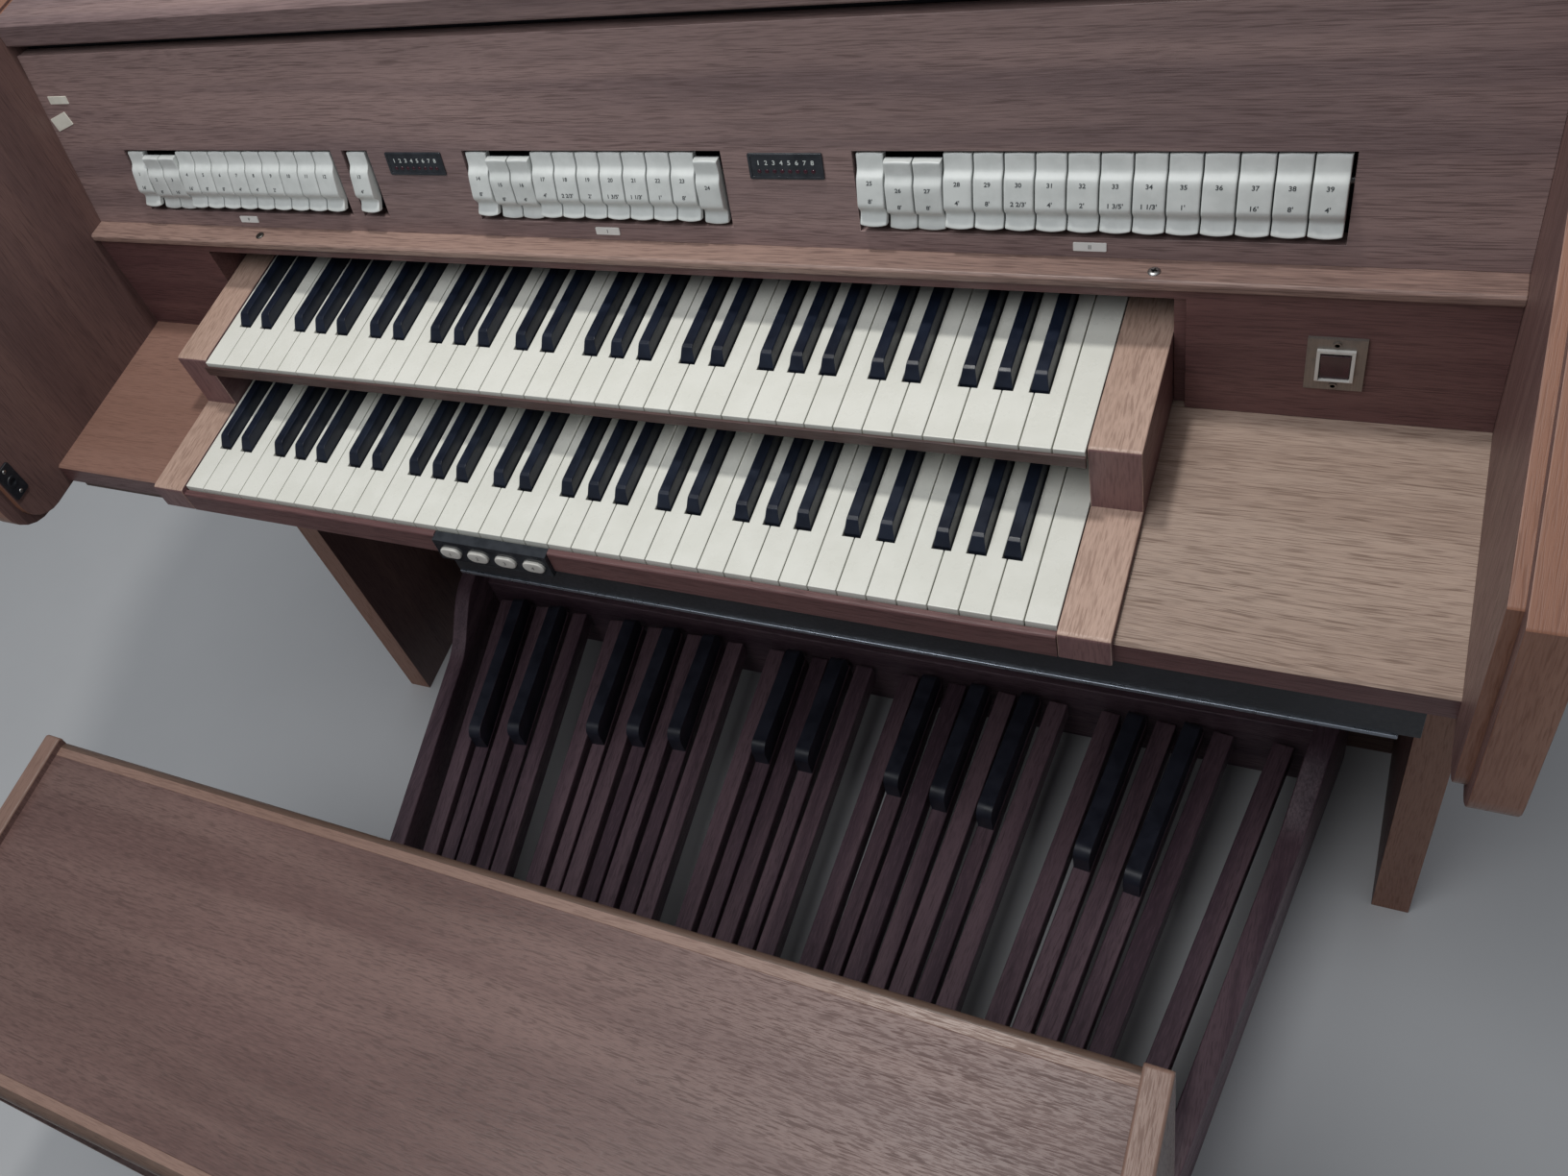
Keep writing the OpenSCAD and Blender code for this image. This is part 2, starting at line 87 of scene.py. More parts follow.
# ------------------------------------------------------------------ node helpers
class Mat:
    """A small helper round one node material."""

    def __init__(self, name):
        self.m = bpy.data.materials.new(name)
        self.m.use_nodes = True
        self.t = self.m.node_tree
        self.b = self.t.nodes["Principled BSDF"]

    def n(self, kind, **kw):
        o = self.t.nodes.new(kind)
        for k, v in kw.items():
            setattr(o, k, v)
        return o

    def link(self, a, b):
        self.t.links.new(a, b)

    def put(self, sock, v):
        if isinstance(v, bpy.types.NodeSocket):
            self.link(v, sock)
        else:
            sock.default_value = v

    def math(self, op, a, b=0.0, c=None, clamp=False):
        o = self.n("ShaderNodeMath", operation=op, use_clamp=clamp)
        self.put(o.inputs[0], a)
        self.put(o.inputs[1], b)
        if c is not None:
            self.put(o.inputs[2], c)
        return o.outputs[0]

    def ramp(self, v, a, b, lo=0.0, hi=1.0):
        o = self.n("ShaderNodeMapRange", interpolation_type="SMOOTHSTEP")
        self.put(o.inputs["Value"], v)
        o.inputs["From Min"].default_value = a
        o.inputs["From Max"].default_value = b
        o.inputs["To Min"].default_value = lo
        o.inputs["To Max"].default_value = hi
        return o.outputs["Result"]

    def mix(self, fac, a, b, blend="MIX"):
        o = self.n("ShaderNodeMix", data_type="RGBA", blend_type=blend)
        self.put(o.inputs[0], fac)
        for s, v in ((o.inputs[6], a), (o.inputs[7], b)):
            if isinstance(v, bpy.types.NodeSocket):
                self.link(v, s)
            else:
                s.default_value = (*v, 1.0) if len(v) == 3 else v
        return o.outputs[2]

    def vmath(self, op, a, b=(0, 0, 0), c=None):
        o = self.n("ShaderNodeVectorMath", operation=op)
        self.put(o.inputs[0], a)
        self.put(o.inputs[1], b)
        if c is not None:
            self.put(o.inputs[2], c)
        return o.outputs[0]

    def noise(self, vec, scale, detail=2.0, rough=0.55, what="Fac", stretch=None, distortion=0.0):
        if stretch is not None:
            vec = self.vmath("MULTIPLY", vec, stretch)
        o = self.n("ShaderNodeTexNoise", noise_dimensions="3D")
        self.link(vec, o.inputs["Vector"])
        o.inputs["Scale"].default_value = scale
        o.inputs["Detail"].default_value = detail
        o.inputs["Roughness"].default_value = rough
        o.inputs["Distortion"].default_value = distortion
        return o.outputs[what]

    def coords(self, attribute=None):
        if attribute:
            return self.n("ShaderNodeAttribute", attribute_name=attribute).outputs["Vector"]
        return self.n("ShaderNodeTexCoord").outputs["Object"]

    def bump(self, height, strength, distance):
        o = self.n("ShaderNodeBump")
        o.inputs["Strength"].default_value = strength
        o.inputs["Distance"].default_value = distance
        self.link(height, o.inputs["Height"])
        self.link(o.outputs["Normal"], self.b.inputs["Normal"])


def wood(name, dark, mid, light, pore, pore_amt=0.7, ring_amt=0.3, rough=0.42, bump=0.35, across=330.0, along=30.0,
         tone=0.07, axis=None, fleck=0.0, spec=0.45, gleam=0.35):
    """Oak. The coordinates are (across, along, through) in metres. Soft growth bands, short pore dashes with
    paler lines between them, slow tone changes and a grain that wanders a little."""
    M = Mat(name)
    if axis is None:
        p = M.coords("gco")
    else:
        q = M.coords()
        if axis != "Y":
            s = M.n("ShaderNodeSeparateXYZ")
            M.link(q, s.inputs[0])
            c = M.n("ShaderNodeCombineXYZ")
            order = {"X": (1, 0, 2), "Z": (0, 2, 1)}[axis]
            for i, k in enumerate(order):
                M.link(s.outputs[k], c.inputs[i])
            q = c.outputs[0]
        p = q
    warp = M.noise(p, 1.0, 1.0, 0.5, "Color", stretch=(8.0, 2.8, 8.0))
    warp = M.vmath("SUBTRACT", warp, (0.5, 0.5, 0.5))
    p = M.vmath("MULTIPLY_ADD", warp, (0.018, 0.0, 0.010), p)
    figure = M.noise(p, 1.0, 2.0, 0.55, stretch=(24.0, 1.3, 24.0))
    ring = M.noise(p, 1.0, 1.0, 0.6, stretch=(115.0, 3.2, 115.0))
    dash = M.noise(p, 1.0, 1.0, 0.6, stretch=(across, along, across))
    fine = M.noise(p, 1.0, 0.0, 0.5, stretch=(across * 2.7, along * 1.9, across * 2.7))
    slow = M.noise(p, 1.0, 2.0, 0.5, stretch=(6.0, 2.2, 6.0))
    early = M.ramp(ring, 0.40, 0.62)
    dashes = M.math("MULTIPLY", M.ramp(dash, 0.50, 0.66), M.math("MULTIPLY_ADD", early, 0.35, 0.65))
    pores = M.math("MAXIMUM", dashes, M.math("MULTIPLY", M.ramp(fine, 0.56, 0.74), 0.55), clamp=True)
    col = M.mix(M.ramp(figure, 0.34, 0.66), mid, light)
    col = M.mix(M.math("MULTIPLY", early, ring_amt), col, dark)
    col = M.mix(M.math("MULTIPLY", M.ramp(dash, 0.46, 0.34), gleam), col, tuple(c * 1.16 for c in light))
    col = M.mix(M.math("MULTIPLY", pores, pore_amt), col, pore)
    if fleck:
        fl = M.noise(p, 1.0, 1.0, 0.5, stretch=(70.0, 260.0, 70.0))
        col = M.mix(M.math("MULTIPLY", M.ramp(fl, 0.66, 0.74), fleck), col, light)
    v = M.ramp(slow, 0.3, 0.7, 1.0 - tone, 1.0 + tone)
    col = M.mix(1.0, col, v_to_rgb(M, v), "MULTIPLY")
    M.link(col, M.b.inputs["Base Color"])
    r = M.math("MULTIPLY_ADD", pores, 0.16, M.ramp(slow, 0.3, 0.7, rough - 0.05, rough + 0.07))
    M.link(r, M.b.inputs["Roughness"])
    M.b.inputs["Specular IOR Level"].default_value = spec
    M.bump(M.math("SUBTRACT", M.math("MULTIPLY", ring, 0.2), pores), bump, 0.0004)
    return M.m


def v_to_rgb(M, v):
    c = M.n("ShaderNodeCombineColor")
    for i in range(3):
        M.link(v, c.inputs[i])
    return c.outputs[0]


def plastic(name, a, b, rough=0.3, spread=0.06, bump=0.04, grain=900.0, scuff=0.0, spec=0.5, patch=30.0):
    """Moulded or lacquered plastic: slow colour drift, fingered gloss, a very fine skin and light scuffs."""
    M = Mat(name)
    p = M.coords()
    slow = M.noise(p, patch, 3.0, 0.6)
    col = M.mix(M.ramp(slow, 0.35, 0.65), a, b)
    if scuff:
        s = M.noise(p, 1.0, 3.0, 0.7, stretch=(420.0, 60.0, 420.0))
        col = M.mix(M.math("MULTIPLY", M.ramp(s, 0.62, 0.78), scuff), col,
                    tuple(min(1.0, c * 1.6 + 0.05) for c in b))
    M.link(col, M.b.inputs["Base Color"])
    g = M.noise(p, 60.0, 4.0, 0.65)
    M.link(M.ramp(g, 0.3, 0.7, rough - spread, rough + spread), M.b.inputs["Roughness"])
    M.b.inputs["Specular IOR Level"].default_value = spec
    M.bump(M.noise(p, grain, 2.0, 0.6), bump, 0.0003)
    return M.m


def metal(name, colour, rough=0.35, stretch=(30.0, 1200.0, 30.0), bump=0.05, metallic=1.0):
    M = Mat(name)
    p = M.coords()
    lines = M.noise(p, 1.0, 3.0, 0.6, stretch=stretch)
    dull = M.noise(p, 120.0, 3.0, 0.6)
    col = M.mix(M.ramp(lines, 0.3, 0.7), tuple(c * 0.86 for c in colour), colour)
    col = M.mix(M.math("MULTIPLY", M.ramp(dull, 0.55, 0.75), 0.35), col, tuple(c * 0.6 for c in colour))
    M.link(col, M.b.inputs["Base Color"])
    M.b.inputs["Metallic"].default_value = metallic
    M.link(M.ramp(dull, 0.3, 0.7, rough - 0.08, rough + 0.14), M.b.inputs["Roughness"])
    M.bump(lines, bump, 0.0002)
    return M.m


def paint(name, a, b, rough=0.6, bump=0.15, fuzz=260.0):
    """Matt black paint, cloth or rubbed board."""
    M = Mat(name)
    p = M.coords()
    n1 = M.noise(p, fuzz, 4.0, 0.7)
    n2 = M.noise(p, 14.0, 3.0, 0.6)
    col = M.mix(M.ramp(n2, 0.35, 0.7), a, b)
    col = M.mix(M.math("MULTIPLY", M.ramp(n1, 0.5, 0.75), 0.35), col, tuple(c * 1.8 for c in b))
    M.link(col, M.b.inputs["Base Color"])
    M.link(M.ramp(n1, 0.3, 0.7, rough - 0.08, rough + 0.1), M.b.inputs["Roughness"])
    M.bump(n1, bump, 0.0004)
    return M.m


MATS = {
    # name: dark, mid, light, pore
    "case_oak": wood("case_oak", (0.136, 0.087, 0.087), (0.188, 0.129, 0.128), (0.301, 0.207, 0.194),
                     (0.087, 0.052, 0.049), pore_amt=0.6, ring_amt=0.10, rough=0.40, bump=0.25, across=820.0, along=30.0, gleam=0.22),
    "ledge_oak": wood("ledge_oak", (0.158, 0.095, 0.081), (0.219, 0.141, 0.120), (0.319, 0.211, 0.174),
                      (0.093, 0.052, 0.044), pore_amt=0.65, ring_amt=0.10, rough=0.40, bump=0.25, across=820.0, along=34.0, gleam=0.3),
    # a darker, redder copy of the case oak for faces that look forward, under the ledge and along the fronts: painted
    # shade
    "front_shade_oak": wood("front_shade_oak", (0.077, 0.034, 0.036), (0.106, 0.049, 0.050), (0.158, 0.078, 0.075),
                      (0.041, 0.018, 0.018), pore_amt=0.5, ring_amt=0.10, rough=0.40, bump=0.25, across=820.0, along=34.0, gleam=0.2),
    # a much darker copy of the oak for the rail in the shadow under the upper keys: painted shade
    "rail_shade_oak": wood("rail_shade_oak", (0.048, 0.024, 0.022), (0.065, 0.034, 0.031), (0.085, 0.046, 0.043),
                     (0.022, 0.011, 0.011), pore_amt=0.5, ring_amt=0.10, rough=0.42, bump=0.2, across=820.0, along=34.0, gleam=0.2),
    # darker copies of the case oak for the inner faces of the left and right end panels: painted shade
    "panel_shade_oak": wood("panel_shade_oak", (0.094, 0.051, 0.049), (0.130, 0.076, 0.072), (0.171, 0.100, 0.090),
                      (0.050, 0.025, 0.023), pore_amt=0.45, ring_amt=0.08, rough=0.42, bump=0.2, across=760.0, along=30.0, gleam=0.18),
    "side_shade_oak": wood("side_shade_oak", (0.083, 0.040, 0.037), (0.115, 0.058, 0.055), (0.176, 0.099, 0.089),
                     (0.051, 0.024, 0.022), pore_amt=0.5, ring_amt=0.08, rough=0.42, bump=0.2, across=760.0, along=30.0, gleam=0.18),
    "desk_oak": wood("desk_oak", (0.279, 0.193, 0.150), (0.358, 0.260, 0.209), (0.409, 0.307, 0.250),
                     (0.177, 0.116, 0.087), pore_amt=0.85, ring_amt=0.16, rough=0.40, bump=0.28, across=900.0, along=34.0, gleam=0.45),
    # a darker, redder copy of the desk oak for the left desk: painted shade
    "left_desk_shade_oak": wood("left_desk_shade_oak", (0.194, 0.102, 0.077), (0.243, 0.133, 0.101), (0.279, 0.158, 0.122),
                          (0.149, 0.077, 0.058), pore_amt=0.5, ring_amt=0.08, rough=0.42, bump=0.2, across=760.0, along=40.0, gleam=0.18),
    "cheek_oak": wood("cheek_oak", (0.370, 0.241, 0.190), (0.451, 0.308, 0.245), (0.504, 0.354, 0.287),
                      (0.288, 0.184, 0.142), pore_amt=0.75, ring_amt=0.10, rough=0.38, bump=0.22, across=620.0, along=60.0, gleam=0.3),
    # a darker copy of the cheek oak for the cheeks' sides and fronts: painted shade
    "cheek_shade_side": wood("cheek_shade_side", (0.135, 0.068, 0.072), (0.171, 0.089, 0.094), (0.221, 0.122, 0.117),
                       (0.108, 0.054, 0.053), pore_amt=0.5, ring_amt=0.10, rough=0.42, bump=0.22, across=620.0, along=50.0, gleam=0.2),
    "lip_oak": wood("lip_oak", (0.175, 0.075, 0.045), (0.224, 0.098, 0.061), (0.278, 0.135, 0.087),
                    (0.134, 0.055, 0.034), pore_amt=0.45, ring_amt=0.08, rough=0.38, bump=0.2, across=760.0, along=36.0, gleam=0.2),
    "bench_oak": wood("bench_oak", (0.107, 0.058, 0.052), (0.153, 0.087, 0.078), (0.203, 0.124, 0.109),
                      (0.067, 0.034, 0.029), pore_amt=0.55, ring_amt=0.12, rough=0.36, bump=0.3, across=620.0, along=62.0, tone=0.12, spec=0.55, gleam=0.25),
    "bench_lip": wood("bench_lip", (0.210, 0.124, 0.096), (0.269, 0.166, 0.131), (0.311, 0.200, 0.162),
                      (0.139, 0.076, 0.058), pore_amt=0.45, ring_amt=0.14, rough=0.38, bump=0.22, across=640.0, along=50.0, spec=0.5, gleam=0.2),
    # a darker copy of the bench lipping for its rounded outer arrises: painted shade
    "bench_shade_edge": wood("bench_shade_edge", (0.094, 0.056, 0.042), (0.122, 0.076, 0.058), (0.148, 0.095, 0.073),
                       (0.061, 0.035, 0.026), pore_amt=0.45, ring_amt=0.14, rough=0.36, bump=0.22, across=640.0, along=50.0, spec=0.5, gleam=0.2),
    "pedal_oak": wood("pedal_oak", (0.052, 0.029, 0.043), (0.079, 0.045, 0.063), (0.187, 0.117, 0.140),
                      (0.048, 0.028, 0.035), pore_amt=0.5, ring_amt=0.14, rough=0.46, bump=0.3, across=560.0, along=50.0, gleam=0.22),
    "dark_oak": wood("dark_oak", (0.075, 0.040, 0.033), (0.110, 0.060, 0.048), (0.145, 0.084, 0.067),
                     (0.035, 0.018, 0.015), pore_amt=0.5, ring_amt=0.2, rough=0.5, bump=0.25, across=480.0, along=24.0, gleam=0.25, axis="X"),
    "board_oak": wood("board_oak", (0.075, 0.040, 0.033), (0.110, 0.060, 0.048), (0.145, 0.084, 0.067),
                      (0.035, 0.018, 0.015), pore_amt=0.5, ring_amt=0.2, rough=0.5, bump=0.25, across=480.0, along=24.0, gleam=0.25),
    "natural_white": plastic("natural_white", (0.735, 0.735, 0.672), (0.775, 0.775, 0.715), rough=0.30, bump=0.05, patch=22.0),
    "sharp_black": plastic("sharp_black", (0.006, 0.009, 0.019), (0.010, 0.015, 0.030), rough=0.36, bump=0.06, scuff=0.06, spec=0.32),
    "tab_white": plastic("tab_white", (0.600, 0.625, 0.610), (0.660, 0.685, 0.670), rough=0.36, bump=0.06, patch=60.0),
    "piston_white": plastic("piston_white", (0.600, 0.585, 0.540), (0.680, 0.665, 0.620), rough=0.40, bump=0.10, patch=90.0),
    "display_black": plastic("display_black", (0.018, 0.021, 0.026), (0.032, 0.036, 0.043), rough=0.16, bump=0.02, patch=70.0),
    "cap_black": plastic("cap_black", (0.014, 0.016, 0.027), (0.026, 0.029, 0.046), rough=0.46, bump=0.35, grain=420.0, scuff=0.18),
    "label_white": plastic("label_white", (0.740, 0.735, 0.700), (0.800, 0.795, 0.765), rough=0.5, bump=0.05),
    "card_white": plastic("card_white", (0.640, 0.620, 0.540), (0.720, 0.700, 0.620), rough=0.7, bump=0.1),
    "ink": plastic("ink", (0.030, 0.036, 0.040), (0.060, 0.068, 0.072), rough=0.6, bump=0.02),
    "digit_pale": plastic("digit_pale", (0.520, 0.560, 0.540), (0.640, 0.680, 0.660), rough=0.5, bump=0.02),
    "frame_white": plastic("frame_white", (0.600, 0.590, 0.560), (0.660, 0.650, 0.620), rough=0.35, bump=0.05),
    "rocker_red": plastic("rocker_red", (0.026, 0.006, 0.012), (0.044, 0.009, 0.018), rough=0.22, bump=0.03),
    "felt": paint("felt", (0.014, 0.012, 0.017), (0.024, 0.021, 0.029), rough=0.82, bump=0.35, fuzz=900.0),
    "fascia_black": paint("fascia_black", (0.010, 0.012, 0.016), (0.018, 0.020, 0.026), rough=0.42, bump=0.12),
    "steel": metal("steel", (0.55, 0.55, 0.54)),
    "dark_steel": metal("dark_steel", (0.14, 0.13, 0.12), rough=0.4),
    "trim_steel": metal("trim_steel", (0.30, 0.33, 0.38), rough=0.30, stretch=(3.0, 900.0, 900.0)),
    "plate_metal": metal("plate_metal", (0.27, 0.24, 0.215), rough=0.42, stretch=(900.0, 900.0, 20.0), metallic=0.65),
}


# ------------------------------------------------------------------ mesh helpers
def node_bm(node):
    """A clean copy of a CAD node's solid: welded, with its flat faces whole again."""
    bm = bmesh.new()
    bm.from_mesh(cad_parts[node].data)
    bmesh.ops.remove_doubles(bm, verts=bm.verts, dist=3e-6)
    bmesh.ops.dissolve_limit(bm, angle_limit=math.radians(0.8), verts=bm.verts, edges=bm.edges)
    bmesh.ops.recalc_face_normals(bm, faces=bm.faces)
    return bm


def bevel(bm, width, seg=2, least=25.0, pick=None):
    """Rounds the outer edges that turn by more than least degrees."""
    es = [e for e in bm.edges if len(e.link_faces) == 2 and e.is_convex
          and e.calc_face_angle(0.0) > math.radians(least) and (pick is None or pick(e))]
    if es:
        bmesh.ops.bevel(bm, geom=es, offset=width, offset_type="OFFSET", segments=seg, profile=0.5,
                        affect="EDGES", clamp_overlap=True)


def smooth(bm, sharp=38.0):
    for f in bm.faces:
        f.smooth = True
    for e in bm.edges:
        e.smooth = len(e.link_faces) == 2 and e.calc_face_angle(0.0) < math.radians(sharp)


def finish(name, bm, mats, body="console", nodes=(), weighted=True, sharp=50.0):
    smooth(bm, sharp)
    me = bpy.data.meshes.new(name)
    bm.to_mesh(me)
    bm.free()
    for m in mats:
        me.materials.append(MATS[m])
    ob = bpy.data.objects.new(name, me)
    scene.collection.objects.link(ob)
    if weighted:
        w = ob.modifiers.new("weighted_normals", "WEIGHTED_NORMAL")
        w.keep_sharp = True
        w.weight = 80
    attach(ob, body)
    if nodes:
        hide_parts(*nodes)
    return ob


def grain(ob, fn):
    """Writes the wood's coordinates, fn(point, face normal, material index) -> (across, along, through)."""
    me = ob.data
    at = me.attributes.new("gco", "FLOAT_VECTOR", "CORNER")
    out = np.zeros((len(me.loops), 3), dtype=np.float32)
    for p in me.polygons:
        nrm = p.normal
        for li in p.loop_indices:
            out[li] = fn(me.vertices[me.loops[li].vertex_index].co, nrm, p.material_index)
    at.data.foreach_set("vector", out.ravel())
    return ob


def straight(axis, seed=None):
    """Grain along one axis, with its own place in the timber."""
    o = [rng.uniform(-20, 20) for _ in range(3)]
    a = {"X": (1, 0, 2), "Y": (0, 1, 2), "Z": (0, 2, 1)}[axis]
    return lambda v, n, m: (v[a[0]] + o[0], v[a[1]] + o[1], v[a[2]] + o[2])


def from_node(node, mat, axis="X", width=0.8, seg=2, body=None, least=25.0, pick=None, sharp=50.0, name=None):
    bm = node_bm(node)
    bevel(bm, width * MM, seg, least, pick)
    body = body or ("console" if node not in MOVING else node + "_body")
    ob = finish(name or node + "_finish", bm, [mat], body, [node], sharp=sharp)
    if mat.endswith("oak") or mat.endswith("lip"):
        grain(ob, straight(axis))
    return ob


MOVING = {"lower_top_c_key", "upper_top_c_key", "single_tab", "power_rocker", "piston_1", "piston_2", "piston_3",
          "piston_4", "pedal_low_c", "pedal_low_c_sharp"}


def add_box(bm, x0, x1, y0, y1, z0, z1, mat=0):
    vs = [bm.verts.new((x, y, z)) for x in (x0, x1) for y in (y0, y1) for z in (z0, z1)]
    q = [(0, 1, 3, 2), (4, 6, 7, 5), (0, 4, 5, 1), (2, 3, 7, 6), (0, 2, 6, 4), (1, 5, 7, 3)]
    fs = []
    for f in q:
        fc = bm.faces.new([vs[i] for i in f])
        fc.material_index = mat
        fs.append(fc)
    return fs


def box_bm(boxes, width, seg=2):
    bm = bmesh.new()
    for b in boxes:
        add_box(bm, *[v * MM for v in b])
    bmesh.ops.recalc_face_normals(bm, faces=bm.faces)
    bevel(bm, width * MM, seg)
    return bm


def text_bm(words, depth, weight=0.0):
    """Small raised marks, each (text, matrix from its own millimetres, letter height). They read along +X, facing +Z."""
    bm = bmesh.new()
    for s, mat, size in words:
        cu = bpy.data.curves.new("t", "FONT")
        cu.body = s
        cu.size = size
        cu.align_x = "CENTER"
        cu.align_y = "CENTER"
        cu.extrude = depth
        cu.offset = weight
        cu.resolution_u = 3
        ob = bpy.data.objects.new("t", cu)
        scene.collection.objects.link(ob)
        dg = bpy.context.evaluated_depsgraph_get()
        me = bpy.data.meshes.new_from_object(ob.evaluated_get(dg))
        me.transform(mat)
        bm.from_mesh(me)
        bpy.data.objects.remove(ob)
        bpy.data.meshes.remove(me)
        bpy.data.curves.remove(cu)
    bmesh.ops.remove_doubles(bm, verts=bm.verts, dist=1e-6)
    bmesh.ops.recalc_face_normals(bm, faces=bm.faces)
    return bm


# ------------------------------------------------------------------ sizes from the CAD source, mm
HW, END_T = 642.0, 36.0
NAME_Y, LEDGE_Z, TILT = 238.0, 984.0, math.radians(10)
NAME_LEN, WIN_LO, WIN_HI = 194.0, 17.0, 87.5
TAB_PITCH, TAB_LEN, TAB_MID, AXLE, TAB_TILT = 21.8, 61.0, 53.0, 24.0, 5.0
KEY_X0, PITCH, KEY_Z, RISE, BACK, LKY = -449.0, 23.5, 850.0, 67.4, 107.6, 2.0
BOARD_Y, DESK_Z, DESK_T = 222.0, 844.0, 24.0
PED_X, PED_Y, PED_R, PED_PITCH, PED_Z = 11.0, 186.0, 3200.0, 57.9, 112.0


def name_matrix():
    """From the nameboard's own frame (x, into the board, up its face), in mm, to the row frame in metres."""
    return Matrix.Translation((0, NAME_Y * MM, LEDGE_Z * MM)) @ Matrix.Rotation(-TILT, 4, "X") @ Matrix.Scale(MM, 4)


NM = name_matrix()

# ------------------------------------------------------------------ case
def end_panel(node, side):
    """Veneered panel, its front and top lipped in two layers, the inner one set in."""
    bm = node_bm(node)
    bevel(bm, 0.9 * MM, 2, 40.0)
    for f in bm.faces:
        c, n = f.calc_center_median(), f.normal
        f.material_index = 0 if abs(n.x) > 0.8 or c.z < 0.2 or (c.y > 0.5 and c.z < 1.19) or n.z < -0.5 else 1
        # faces that look inward take a darker copy of the case oak: painted shade
        if f.material_index == 0 and n.x * side < -0.8:
            f.material_index = 2
    ob = finish(node + "_finish", bm, ["case_oak", "lip_oak", "panel_shade_oak" if side < 0 else "side_shade_oak"], "console", [node], sharp=30)
    o = [rng.uniform(-20, 20) for _ in range(6)]

    def fn(v, n, m):
        if m != 1:
            return (v.y + o[0], v.z + o[1], v.x + o[2])
        # the lipping's grain follows the edge: up its front, then back along its top
        run = v.y * 1.1 + 1.1 if n.z > 0.4 else v.z
        return (v.x + o[3], run + o[4], o[5])
    return grain(ob, fn)


end_panel("left_end_panel", -1)
end_panel("right_end_panel", 1)
from_node("top_board", "case_oak", "X", 0.6)
from_node("top_front_rail", "case_oak", "X", 0.8)
from_node("nameboard", "case_oak", "X", 0.5, 2)
from_node("nameboard_ledge", "ledge_oak", "X", 0.8)


def back_board():
    """The board behind the desks; its front takes the darker front oak as painted shade, and the face of its return
    beside the left cheek takes the paler case oak as painted light.
    """
    bm = node_bm("desk_back_board")
    bevel(bm, 0.4 * MM, 2, 40.0)
    for f in bm.faces:
        c, n = f.calc_center_median(), f.normal
        # painted light: the return's face beside the left cheek gets the paler case oak; the rest gets the darker
        # front oak, painted shade
        f.material_index = 1 if n.x > 0.8 and c.y < 0.241 and -0.5 < c.x < -0.4 else 0
    ob = finish("desk_back_board_finish", bm, ["front_shade_oak", "case_oak"], "console", ["desk_back_board"])
    return grain(ob, straight("X"))


back_board()
# the key slip's front takes the darker front oak: painted shade
from_node("key_slip", "front_shade_oak", "X", 0.7)
# the rail under the upper keys takes a very dark oak copy: painted shade
from_node("upper_key_rail", "rail_shade_oak", "X", 0.5)


def cheek(node):
    """Key cheek: pale planed top; its sides and front take a darker copy of the oak as painted shade."""
    bm = node_bm(node)
    bevel(bm, 1.2 * MM, 3, 25.0)
    for f in bm.faces:
        # sides and front get the darker copy: painted shade
        f.material_index = 1 if abs(f.normal.x) > 0.8 or f.normal.y < -0.8 else 0
    ob = finish(node + "_finish", bm, ["cheek_oak", "cheek_shade_side"], "console", [node], sharp=50)
    o = [rng.uniform(-20, 20) for _ in range(3)]
    return grain(ob, lambda v, n, m: (v.x + o[0], v.z + o[1], v.y + o[2]) if n.y < -0.8 else (v.x + o[0], v.y + o[1], v.z + o[2]))


cheek("left_key_cheek")
cheek("right_key_cheek")
from_node("kneeboard", "board_oak", "X", 0.8)
from_node("under_desk_fascia", "fascia_black", "X", 0.5)
from_node("fascia_trim", "trim_steel", "X", 0.6)


def desk(node, mat):
    """Veneered board; its front edge band and underside take the darker front oak as painted shade, and its arris is
    pale where lit.
    """
    bm = node_bm(node)
    bevel(bm, 0.8 * MM, 2, 20.0)
    for f in bm.faces:
        # front and underside faces take the darker front oak: painted shade
        if f.normal.y < -0.9 or f.normal.z < -0.5:
            f.material_index = 1
    ob = finish(node + "_finish", bm, [mat, "front_shade_oak"], "console", [node])
    return grain(ob, straight("X"))


# the left desk takes the darker copy of the desk oak: painted shade
desk("left_desk", "left_desk_shade_oak")
desk("right_desk", "desk_oak")


def back_panel():
    bm = node_bm("back_panel")
    bevel(bm, 0.8 * MM, 2)
    # the board lies a hair behind the ends of the side panels, so that its screws stay inside the outline
    for v in bm.verts:
        if v.co.y > 0.5708:
            v.co.y -= 0.0006
    grain(finish("back_panel_finish", bm, ["board_oak"], "console", ["back_panel"]), straight("X"))
    # a row of countersunk screws round the back
    bm = bmesh.new()
    y = 0.572
    pts = [(x, z) for z in (0.082, 1.172) for x in (-0.6, -0.3, 0.0, 0.3, 0.6)] + [(x, z) for x in (-0.62, 0.62) for z in (0.35, 0.62, 0.9)]
    for x, z in pts:
        screw(bm, Vector((x, y - 0.0010, z)), Vector((0, 1, 0)), 0.0042, 0.0009, rng.uniform(0, 3))
    finish("back_screws", bm, ["steel"], "console", (), weighted=False)


